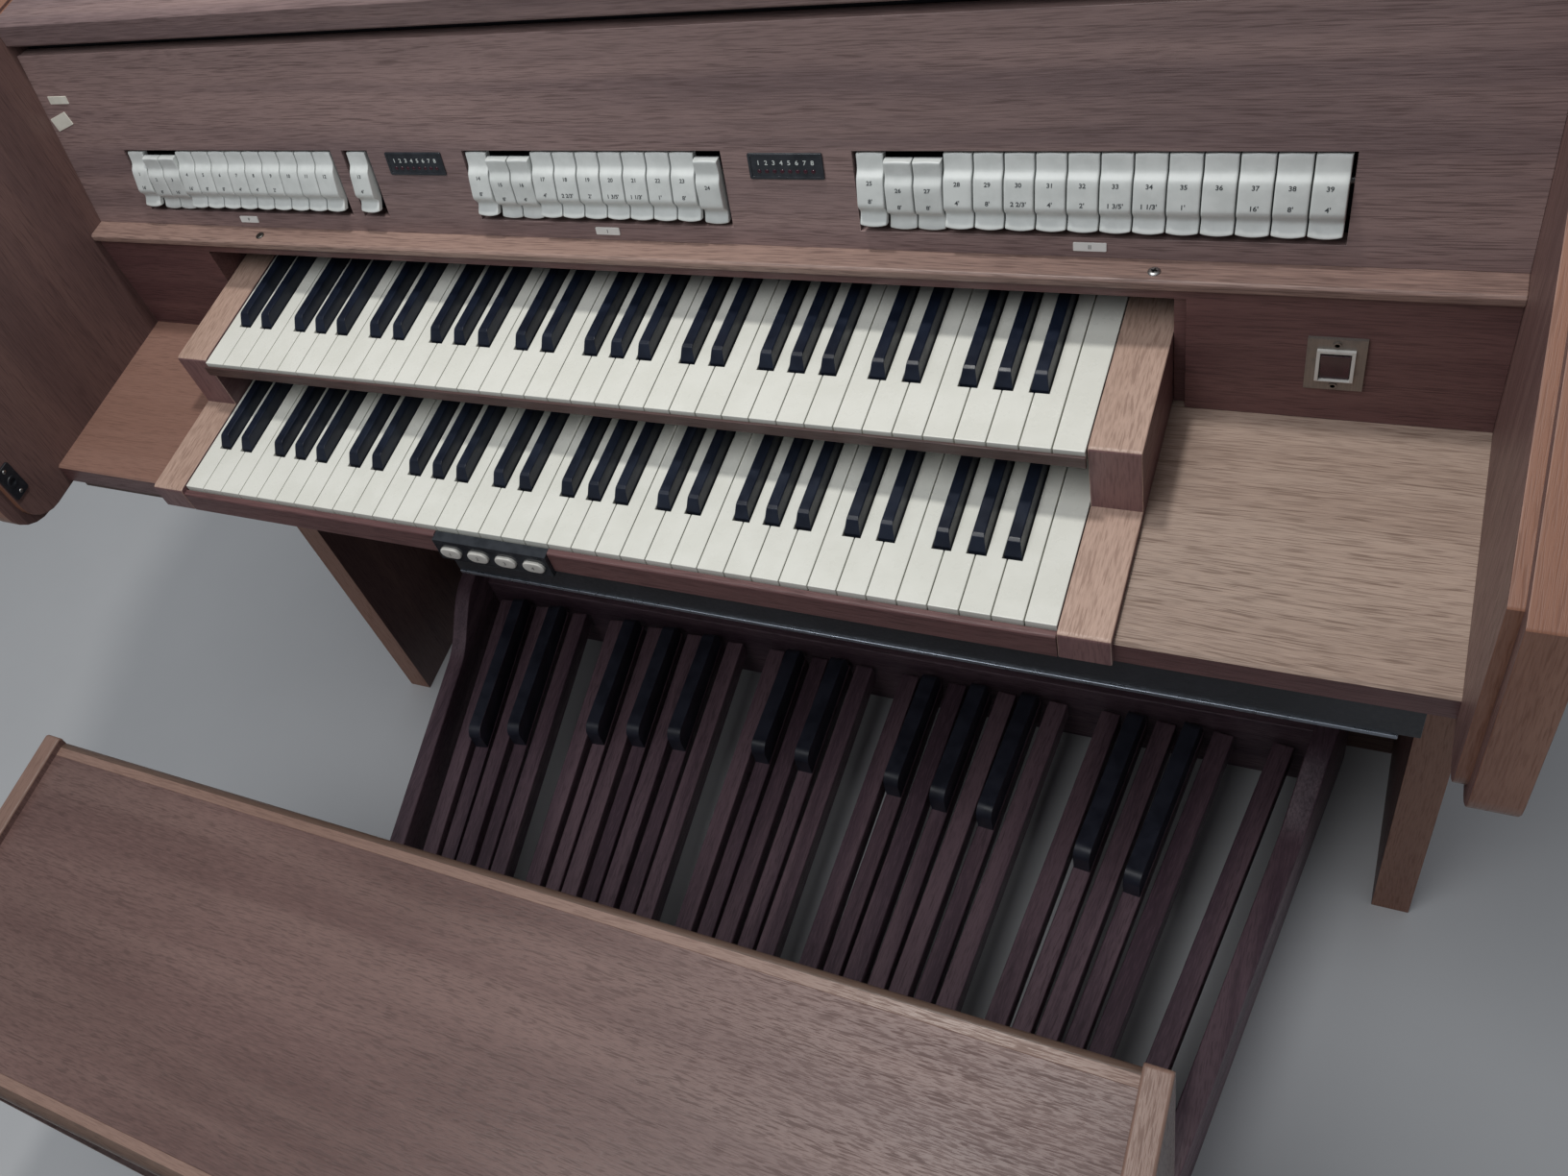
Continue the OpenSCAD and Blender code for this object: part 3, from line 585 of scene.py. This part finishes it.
def screw(bm, at, normal, r, h, turn, slots=2):
    """A domed screw head with a cross recess, standing on at along normal."""
    q = normal.to_track_quat("Z", "Y").to_matrix().to_4x4()
    q = Matrix.Translation(at) @ q @ Matrix.Rotation(turn, 4, "Z")
    seg = 24
    rings = [(r, -0.0006), (r, h * 0.35), (r * 0.86, h * 0.75), (r * 0.62, h)]
    loops = []
    for rr, z in rings:
        loops.append([bm.verts.new(q @ Vector((rr * math.cos(2 * math.pi * i / seg), rr * math.sin(2 * math.pi * i / seg), z))) for i in range(seg)])
    for a, b in zip(loops, loops[1:]):
        for i in range(seg):
            bm.faces.new((a[i], a[(i + 1) % seg], b[(i + 1) % seg], b[i]))
    bm.faces.new(list(reversed(loops[0])))
    # the cross is sunk into the crown
    w, l, d = r * 0.11, r * 0.5, h * 0.6
    pat = [(l, -w), (l, w), (w, w), (w, l), (-w, l), (-w, w), (-l, w), (-l, -w), (-w, -w), (-w, -l), (w, -l), (w, -w)]
    top = [bm.verts.new(q @ Vector((x, y, h))) for x, y in pat]
    bot = [bm.verts.new(q @ Vector((x * 0.8, y * 0.8, h - d))) for x, y in pat]
    n = len(pat)
    crown = bmesh.ops.bridge_loops(bm, edges=[bm.edges.new((top[i], top[(i + 1) % n])) for i in range(n)]
                                   + [bm.edges.get((loops[-1][i], loops[-1][(i + 1) % seg])) for i in range(seg)])
    for i in range(n):
        bm.faces.new((top[i], bot[i], bot[(i + 1) % n], top[(i + 1) % n]))
    bm.faces.new(bot)
    bmesh.ops.recalc_face_normals(bm, faces=bm.faces)


back_panel()


def ledge_screws():
    bm = bmesh.new()
    for x in (422, -408):
        screw(bm, Vector((x * MM, 0.226, 0.984)), Vector((0, 0, 1)), 0.0045, 0.0015, rng.uniform(0, 3))
    for f in bm.faces:
        f.material_index = 1 if f.calc_center_median().x < 0 else 0
    finish("ledge_screw_heads", bm, ["steel", "dark_steel"], "console", ["ledge_screws"], weighted=False)


ledge_screws()

# ------------------------------------------------------------------ keys
for nd in ("lower_naturals", "upper_naturals", "lower_top_c_key", "upper_top_c_key"):
    from_node(nd, "natural_white", width=0.7, seg=3)
for nd in ("lower_sharps", "upper_sharps"):
    from_node(nd, "sharp_black", width=0.7, seg=3, least=14.0)

# ------------------------------------------------------------------ stop tabs
UPRIGHT = Matrix.Rotation(math.radians(90), 4, "X")
FACE = [(-30.5, 28.6), (-27.0, 27.6), (-23.5, 26.1), (-20.0, 25.4), (-17.3, 26.6), (-13.5, 30.0), (-10.0, 31.3), (-2.0, 31.0),
        (6.0, 30.6), (11.0, 29.7), (14.5, 27.4), (17.5, 25.9), (21.0, 25.7), (30.5, 26.2)]


def face(t):
    """How far a tab's face stands in front of its axle: a smooth curve through FACE."""
    t = max(-30.5, min(30.5, t))
    i = 0
    while i < len(FACE) - 2 and t > FACE[i + 1][0]:
        i += 1
    (t0, a), (t1, b) = FACE[i], FACE[i + 1]

    def slope(j):
        if j == 0 or j == len(FACE) - 1:
            k = 0 if j == 0 else j - 1
            return (FACE[k + 1][1] - FACE[k][1]) / (FACE[k + 1][0] - FACE[k][0])
        l = (FACE[j][1] - FACE[j - 1][1]) / (FACE[j][0] - FACE[j - 1][0])
        r = (FACE[j + 1][1] - FACE[j][1]) / (FACE[j + 1][0] - FACE[j][0])
        return 0.0 if l * r <= 0 else 2 * l * r / (l + r)
    h = t1 - t0
    u = (t - t0) / h
    return ((2 * u ** 3 - 3 * u * u + 1) * a + (u ** 3 - 2 * u * u + u) * h * slope(i)
            + (-2 * u ** 3 + 3 * u * u) * b + (u ** 3 - u * u) * h * slope(i + 1))


ROWS = [(-30.5, 1.35), (-30.3, 0.75), (-29.9, 0.32), (-29.3, 0.08)] + [(-28.4 + 1.42 * i, 0.0) for i in range(41)] \
    + [(29.3, 0.08), (29.9, 0.32), (30.3, 0.75), (30.5, 1.35)]
COLS = [(-10.4, 1.3), (-10.3, 0.7), (-10.0, 0.25), (-9.5, 0.04), (-8.0, 0), (-6.0, 0), (-3.0, 0), (0.0, 0),
        (3.0, 0), (6.0, 0), (8.0, 0), (9.5, 0.04), (10.0, 0.25), (10.3, 0.7), (10.4, 1.3)]


def add_tab(bm, mat):
    rings = []
    for t, pull in ROWS:
        def foot(x):
            # the foot's end is rounded in plan, and so is the head a little
            return t + (1.8 if t < 0 else -0.6) * (x / 10.4) ** 2 * max(0.0, (abs(t) - 14.0) / 16.5)
        swell = 0.35 * max(0.0, 1.0 - (t / 16.0) ** 2)
        front = [(x, -face(t) + pull + px + swell * (x / 10.4) ** 2, foot(x)) for x, px in COLS]
        back = -19.0 - 4.0 * max(0.0, (-t - 18.0) / 12.5)
        ring = front + [(10.4, back, foot(10.4)), (-10.4, back, foot(10.4))]
        rings.append([bm.verts.new(mat @ Vector(q)) for q in ring])
    n = len(rings[0])
    for a, b in zip(rings, rings[1:]):
        for i in range(n):
            bm.faces.new((a[i], a[(i + 1) % n], b[(i + 1) % n], b[i]))
    bm.faces.new(rings[0])
    bm.faces.new(list(reversed(rings[-1])))
    # the arm to the axle
    vs = [bm.verts.new(mat @ Vector((x, y, z))) for x in (-4, 4) for y in (-20.5, 0) for z in (-4, 4)]
    for q in [(0, 1, 3, 2), (4, 6, 7, 5), (0, 4, 5, 1), (2, 3, 7, 6), (0, 2, 6, 4), (1, 5, 7, 3)]:
        bm.faces.new([vs[i] for i in q])


def on_face(M4, t, lift=0.05):
    """A frame lying on a tab's face at height t, for a mark that reads along +X."""
    a = math.atan2(face(t - 0.5) - face(t + 0.5), 1.0)
    return M4 @ Matrix.Translation((0, -face(t) - lift, t)) @ Matrix.Rotation(-a, 4, "X") @ UPRIGHT


def add_rod(bm, mat, x0, x1, r, seg=24, mat_i=0):
    a = [bm.verts.new(mat @ Vector((x0, r * math.cos(2 * math.pi * i / seg), r * math.sin(2 * math.pi * i / seg)))) for i in range(seg)]
    b = [bm.verts.new(mat @ Vector((x1, r * math.cos(2 * math.pi * i / seg), r * math.sin(2 * math.pi * i / seg)))) for i in range(seg)]
    fs = [bm.faces.new((a[i], a[(i + 1) % seg], b[(i + 1) % seg], b[i])) for i in range(seg)]
    fs += [bm.faces.new(list(reversed(a))), bm.faces.new(b)]
    for f in fs:
        f.material_index = mat_i


PITCHES = {"left": ["16'", "8'", "16'", "16'", "8'", "8'", "4'", "4'", "2'", "", "", ""],
           "single": ["4'"],
           "middle": ["8'", "8'", "4'", "4'", "2 2/3'", "2'", "1 3/5'", "1 1/3'", "1'", "8'", ""],
           "right": ["8'", "8'", "8'", "4'", "8'", "2 2/3'", "4'", "2'", "1 3/5'", "1 1/3'", "1'", "", "16'", "8'", "4'"]}
number = 1
for nd, key, mid, count, low in (("left_tabs", "left", -422.5, 12, (1, 2)), ("single_tab", "single", -262.0, 1, ()),
                                 ("middle_tabs", "middle", -22.0, 11, (1, 2, 10)), ("right_tabs", "right", 372.5, 15, (1, 2))):
    bm, words = bmesh.new(), []
    for i in range(count):
        tilt = TAB_TILT if i in low else -TAB_TILT
        M4 = NM @ Matrix.Translation((mid + (i - (count - 1) / 2) * TAB_PITCH, AXLE, TAB_MID)) @ Matrix.Rotation(math.radians(tilt), 4, "X")
        add_tab(bm, M4)
        words.append((str(number), on_face(M4, 7.6), 4.7))
        if PITCHES[key][i]:
            words.append((PITCHES[key][i], on_face(M4, -7.2), 5.0))
        number += 1
    width = 29.0 if count == 1 else count * TAB_PITCH + 4
    play = 0.5 if count == 1 else 0.0
    add_rod(bm, NM @ Matrix.Translation((0, AXLE, TAB_MID)), mid - width / 2 + play, mid + width / 2 - play, 3.2, mat_i=1)
    bmesh.ops.recalc_face_normals(bm, faces=bm.faces)
    body = "single_tab_body" if count == 1 else "console"
    finish(nd + "_finish", bm, ["tab_white", "steel"], body, [nd], sharp=55)
    finish(nd + "_numbers", text_bm(words, 0.07, 0.09), ["ink"], body, (), weighted=False)

# ------------------------------------------------------------------ displays, labels, cards
def rounded(w, h, r, seg=6):
    """Corner points of a rounded rectangle, counter-clockwise."""
    out = []
    for cx, cz, a0 in ((w / 2 - r, h / 2 - r, 0), (-w / 2 + r, h / 2 - r, 90), (-w / 2 + r, -h / 2 + r, 180), (w / 2 - r, -h / 2 + r, 270)):
        for i in range(seg + 1):
            a = math.radians(a0 + 90 * i / seg)
            out.append((cx + r * math.cos(a), cz + r * math.sin(a)))
    return out


def add_plate(bm, mat, loops, close_first=True, close_last=True, mat_i=0):
    """Stacks outlines, each (points, depth), into a closed plate. Depth runs along the plate's own -y."""
    rings = [[bm.verts.new(mat @ Vector((x, -d, z))) for x, z in pts] for pts, d in loops]
    n = len(rings[0])
    fs = []
    for a, b in zip(rings, rings[1:]):
        for i in range(n):
            fs.append(bm.faces.new((a[i], a[(i + 1) % n], b[(i + 1) % n], b[i])))
    if close_first:
        fs.append(bm.faces.new(list(reversed(rings[0]))))
    if close_last:
        fs.append(bm.faces.new(rings[-1]))
    for f in fs:
        f.material_index = mat_i
    return rings


for nd, x in (("left_display", -197.0), ("right_display", 153.3)):
    bm = bmesh.new()
    at = NM @ Matrix.Translation((x, 0, 74.7))
    add_plate(bm, at, [(rounded(61, 23, 1.6), -0.2), (rounded(61, 23, 1.6), 1.1), (rounded(60.6, 22.6, 1.5), 1.35),
                       (rounded(60, 22, 1.4), 1.5), (rounded(56.6, 18.6, 1.0), 1.5), (rounded(56.0, 18.0, 0.9), 0.9)])
    bmesh.ops.recalc_face_normals(bm, faces=bm.faces)
    finish(nd + "_finish", bm, ["display_black"], "console", [nd], sharp=35)
    words = [(str(i + 1), at @ Matrix.Translation(((i - 3.5) * 6.3, -0.95, 2.9)) @ UPRIGHT, 5.6) for i in range(8)]
    finish(nd + "_digits", text_bm(words, 0.06, 0.06), ["digit_pale"], "console", (), weighted=False)
    # a small lamp window under each digit
    bm = bmesh.new()
    for i in range(8):
        add_plate(bm, at @ Matrix.Translation(((i - 3.5) * 6.3, -0.85, -4.6)),
                  [(rounded(3.4, 3.4, 1.65, 4), -0.1), (rounded(3.4, 3.4, 1.65, 4), 0.25), (rounded(2.8, 2.8, 1.35, 4), 0.5), (rounded(1.6, 1.6, 0.75, 4), 0.62)])
    bmesh.ops.recalc_face_normals(bm, faces=bm.faces)
    finish(nd + "_lamps", bm, ["rocker_red"], "console", (), sharp=60)

bm, words = bmesh.new(), []
for x, s in ((-424.5, "P"), (-17.6, "I"), (376.5, "II")):
    at = NM @ Matrix.Translation((x, 0, 9.4))
    add_plate(bm, at, [(rounded(23, 7.2, 0.8, 4), -0.1), (rounded(23, 7.2, 0.8, 4), 0.8), (rounded(22.6, 6.8, 0.7, 4), 1.0)])
    words.append((s, at @ Matrix.Translation((0, -1.04, 0)) @ UPRIGHT, 5.2))
bmesh.ops.recalc_face_normals(bm, faces=bm.faces)
finish("division_labels_finish", bm, ["label_white"], "console", ["division_labels"])
finish("division_numbers", text_bm(words, 0.05), ["ink"], "console", (), weighted=False)

bm = bmesh.new()
for (w, h, x, z, turn) in ((26.5, 8.5, -HW + 28.25, 145.25, 0), (26.6, 14.8, -HW + 18, 121, -18)):
    at = NM @ Matrix.Translation((x, 0, z)) @ Matrix.Rotation(math.radians(turn), 4, "Y")
    add_plate(bm, at, [(rounded(w, h, 0.5, 3), -0.05), (rounded(w, h, 0.5, 3), 0.6), (rounded(w - 0.3, h - 0.3, 0.4, 3), 0.8)])
bmesh.ops.recalc_face_normals(bm, faces=bm.faces)
finish("side_cards_finish", bm, ["card_white"], "console", ["side_cards"])

# ------------------------------------------------------------------ pistons
def stadium(w, h, seg=10):
    r = h / 2
    out = []
    for cx, a0 in (((w - h) / 2, -90), (-(w - h) / 2, 90)):
        for i in range(seg + 1):
            a = math.radians(a0 + 180 * i / seg)
            out.append((cx + r * math.cos(a), r * math.sin(a)))
    return out


from_node("piston_block", "display_black", width=0.7, seg=2)
for i, x in enumerate((-127.8, -98.8, -69.8, -40.8)):
    at = Matrix.Translation((x * MM, 0, 0.829)) @ Matrix.Scale(MM, 4)
    bm = bmesh.new()
    steps = [(21.6, 13.6, 4.6), (21.6, 13.6, 11.5), (21.3, 13.3, 12.1), (20.6, 12.6, 12.5), (19.2, 11.2, 12.75), (15.0, 7.4, 12.93), (11.5, 4.0, 12.97)]
    add_plate(bm, at, [(stadium(w, h), d) for w, h, d in steps])
    bmesh.ops.recalc_face_normals(bm, faces=bm.faces)
    nm = "piston_%d" % (i + 1)
    finish(nm + "_finish", bm, ["piston_white"], nm + "_body", [nm], sharp=60)
    finish(nm + "_number", text_bm([(str(i + 1), at @ Matrix.Translation((0, -12.97, 0)) @ UPRIGHT, 6.4)], 0.06), ["ink"],
           nm + "_body", (), weighted=False)

# ------------------------------------------------------------------ switch and lock
bm = node_bm("switch_plate")
# the frame's lower rim slopes down and in, its other rims are only eased
bevel(bm, 2.0 * MM, 3, 40.0, lambda e: all(abs(v.co.z - 0.8895) < 1e-5 and abs(v.co.y - (BOARD_Y - 5) * MM) < 1e-5 for v in e.verts))
bevel(bm, 0.4 * MM, 2, 40.0)
for f in bm.faces:
    c = f.calc_center_median() / MM
    f.material_index = 1 if 528.9 < c.x < 553.1 and 889.4 < c.z < 922.1 and c.y < BOARD_Y - 2.7 else 0
finish("switch_plate_finish", bm, ["plate_metal", "frame_white"], "console", ["switch_plate"], sharp=35)
bm = bmesh.new()
for z in (884.8, 927):
    screw(bm, Vector((541 * MM, (BOARD_Y - 2.5) * MM, z * MM)), Vector((0, -1, 0)), 0.0026, 0.0012, 0.4 if z < 900 else 1.1)
finish("switch_screws", bm, ["dark_steel"], "console", (), weighted=False)
from_node("power_rocker", "rocker_red", width=0.35, seg=2)

bm = bmesh.new()
at = Matrix.Translation((-HW * MM, -0.0475, 0.883)) @ Matrix.Rotation(math.radians(90), 4, "Z") @ Matrix.Scale(MM, 4)
add_plate(bm, at, [(rounded(21, 42, 3), -0.2), (rounded(21, 42, 3), 2.0), (rounded(20.2, 41.2, 2.7), 2.4),
                   (rounded(14, 14, 6.9), 2.4), (rounded(13, 13, 6.4), 3.0), (rounded(8, 8, 3.9), 3.0), (rounded(7, 7, 3.4), 0.6)])
bmesh.ops.recalc_face_normals(bm, faces=bm.faces)
finish("lock_plate_finish", bm, ["fascia_black"], "console", ["lock_plate"], sharp=35)
bm = bmesh.new()
for z in (-15.5, 15.5):
    screw(bm, at @ Vector((0, -2.4, z)), Vector((1, 0, 0)), 0.0024, 0.0007, rng.uniform(0, 3))
finish("lock_screws", bm, ["steel"], "console", (), weighted=False)

# ------------------------------------------------------------------ pedalboard
PED_O = PED_Y - PED_R


def fan(half):
    """Grain down each pedal: its own rotated frame and its own place in the timber."""
    offs = {}

    def fn(v, n, m):
        x, y = v.x / MM - PED_X, v.y / MM - PED_O
        a = math.atan2(x, y)
        k = a * PED_R / PED_PITCH + 8.5
        k = math.floor(k) + 0.5 if half else round(k)
        if k not in offs:
            offs[k] = [rng.uniform(-20, 20) for _ in range(3)]
        t = (k - 8.5) * PED_PITCH / PED_R
        o = offs[k]
        return ((x * math.cos(t) - y * math.sin(t)) * MM + o[0], (x * math.sin(t) + y * math.cos(t)) * MM + o[1], v.z + o[2])
    return fn


def pedal_piece(node, half, caps):
    bm = node_bm(node)
    if caps:
        for f in bm.faces:
            f.material_index = 1 if f.calc_center_median().z > (PED_Z - 4.7) * MM else 0
    bevel(bm, 2.0 * MM, 3, 30.0)
    body = node + "_body" if node in MOVING else "console"
    ob = finish(node + "_finish", bm, ["pedal_oak", "cap_black"] if caps else ["pedal_oak"], body, [node], sharp=55)
    return grain(ob, fan(half))


pedal_piece("pedal_naturals", False, False)
pedal_piece("pedal_low_c", False, False)
pedal_piece("pedal_sharp_bars", True, False)
pedal_piece("pedal_low_c_sharp", True, True)
bm = node_bm("pedal_sharp_caps")
bevel(bm, 2.0 * MM, 3, 30.0)
finish("pedal_sharp_caps_finish", bm, ["cap_black"], "console", ["pedal_sharp_caps"], sharp=55)
for nd, ax in (("pedal_left_rail", "Y"), ("pedal_right_rail", "Y"), ("pedal_toe_rail", "X"), ("pedal_heel_rail", "X")):
    from_node(nd, "pedal_oak", ax, 2.0, 3, least=30.0)

# ------------------------------------------------------------------ bench
BL, BR, BB, BF, SZ = -675.0, 513.0, -213.0, -572.0, 607.0


def corner(cy, cz, r, a0, a1, seg=5):
    return [(cy + r * math.cos(math.radians(a0 + (a1 - a0) * i / seg)), cz + r * math.sin(math.radians(a0 + (a1 - a0) * i / seg))) for i in range(seg + 1)]


def prism(bm, outline, x0, x1, mat_i=0):
    a = [bm.verts.new((x0 * MM, y * MM, z * MM)) for y, z in outline]
    b = [bm.verts.new((x1 * MM, y * MM, z * MM)) for y, z in outline]
    n = len(a)
    fs = [bm.faces.new((a[i], a[(i + 1) % n], b[(i + 1) % n], b[i])) for i in range(n)]
    fs += [bm.faces.new(list(reversed(a))), bm.faces.new(b)]
    for f in fs:
        f.material_index = mat_i


def seat():
    """Veneered board between two pale lippings; their rounded outer arrises take a darker copy of the lipping as
    painted shade.
    """
    x0, x1, top, bot, w = BL + 22, BR - 22, SZ, SZ - 26, 19.0
    e = 0.35
    bm = bmesh.new()
    prism(bm, [(BF + w, bot), (BB - w, bot), (BB - w, top - e), (BB - w - e, top), (BF + w + e, top), (BF + w, top - e)], x0, x1)
    ob = finish("bench_seat_board", bm, ["bench_oak"], "console", ["bench_seat"], sharp=30)
    grain(ob, straight("X"))
    for nm, y0, y1, s in (("back", BB - w, BB, 1), ("front", BF + w, BF, -1)):
        bm = bmesh.new()
        r, q = 9.0, 3.5
        if s > 0:
            out = [(y0, bot)] + corner(y1 - q, bot + q, q, -90, 0) + corner(y1 - r, top - r, r, 0, 90, 8) + [(y0 + e, top), (y0, top - e)]
        else:
            out = [(y0, bot), (y0, top - e), (y0 - e, top)] + corner(y1 + r, top - r, r, 90, 180, 8) + corner(y1 + q, bot + q, q, 180, 270)
        prism(bm, out, x0, x1)
        bmesh.ops.recalc_face_normals(bm, faces=bm.faces)
        for f in bm.faces:
            c = f.calc_center_median() / MM
            # the rounded arris faces take the darker copy: painted shade
            f.material_index = 1 if abs(f.normal.x) < 0.5 and abs(c.y - y1) < r - 0.4 else 0
        ob = finish("bench_seat_lipping_" + nm, bm, ["bench_lip", "bench_shade_edge"], "console", ["bench_seat"], sharp=30)
        grain(ob, straight("X"))


seat()
for nd in ("bench_left_end", "bench_right_end"):
    bm = node_bm(nd)
    bevel(bm, 5.5 * MM, 5, 25.0, lambda e: min(v.co.z for v in e.verts) > 0.6)
    bevel(bm, 1.2 * MM, 2, 40.0, lambda e: min(v.co.z for v in e.verts) < 0.6)
    for f in bm.faces:
        f.material_index = 1 if (f.calc_center_median().z > 0.609 or abs(f.normal.y) > 0.5) else 0
    ob = finish(nd + "_finish", bm, ["bench_oak", "bench_lip"], "console", [nd], sharp=40)
    o = [rng.uniform(-20, 20) for _ in range(3)]
    grain(ob, lambda v, n, m, o=o: (v.y + o[0], v.z + o[1], v.x + o[2]) if m == 0 or v.z < 0.58 else (v.x + o[0], v.y + o[2], v.z + o[1]))
from_node("bench_stretcher", "bench_oak", "X", 1.2)

# ------------------------------------------------------------------ CAD parts that are shown as they are
for nd, m in (("key_bed", "dark_oak"), ("upper_key_frame", "dark_oak"), ("base_rail", "dark_oak"),
              ("roll_slot_lining", "felt"), ("tab_wells", "felt")):
    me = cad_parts[nd].data
    if not me.materials:
        me.materials.append(MATS[m])
    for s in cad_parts[nd].material_slots:
        s.material = MATS[m]

# ------------------------------------------------------------------ light, floor, view
def area(name, loc, look, size, power, colour=(1, 1, 1)):
    l = bpy.data.lights.new(name, "AREA")
    l.shape = "DISK"
    l.energy, l.size, l.color = power, size, colour
    o = bpy.data.objects.new(name, l)
    scene.collection.objects.link(o)
    o.location = loc
    o.rotation_euler = (Vector(look) - Vector(loc)).to_track_quat("-Z", "Y").to_euler()


area("key", (0.05, 0.30, 2.6), (0.05, 0.05, 0.9), 0.16, 12, (1.0, 0.985, 0.95))
area("fill", (-0.2, -0.85, 3.0), (0, 0.1, 0.9), 1.4, 24, (0.97, 0.985, 1.0))
w = bpy.data.worlds.new("studio")
scene.world = w
w.use_nodes = True
w.node_tree.nodes["Background"].inputs[0].default_value = (0.86, 0.9, 0.95, 1)
w.node_tree.nodes["Background"].inputs[1].default_value = 0.24

me = bpy.data.meshes.new("floor")
me.from_pydata([(-9, -9, 0), (9, -9, 0), (9, 9, 0), (-9, 9, 0)], [], [(0, 1, 2, 3)])
fl = bpy.data.objects.new("floor", me)
scene.collection.objects.link(fl)
F = Mat("floor")
fp = F.coords()
F.link(F.mix(F.ramp(F.noise(fp, 3.0, 4.0, 0.6), 0.3, 0.7), (0.625, 0.635, 0.65), (0.645, 0.655, 0.67)), F.b.inputs["Base Color"])
F.b.inputs["Roughness"].default_value = 0.75
F.bump(F.noise(fp, 420.0, 2.0, 0.6), 0.08, 0.0005)
me.materials.append(F.m)

scene.view_settings.view_transform = "Standard"
scene.view_settings.look = "None"
scene.view_settings.exposure = 0.0
scene.view_settings.gamma = 1.0
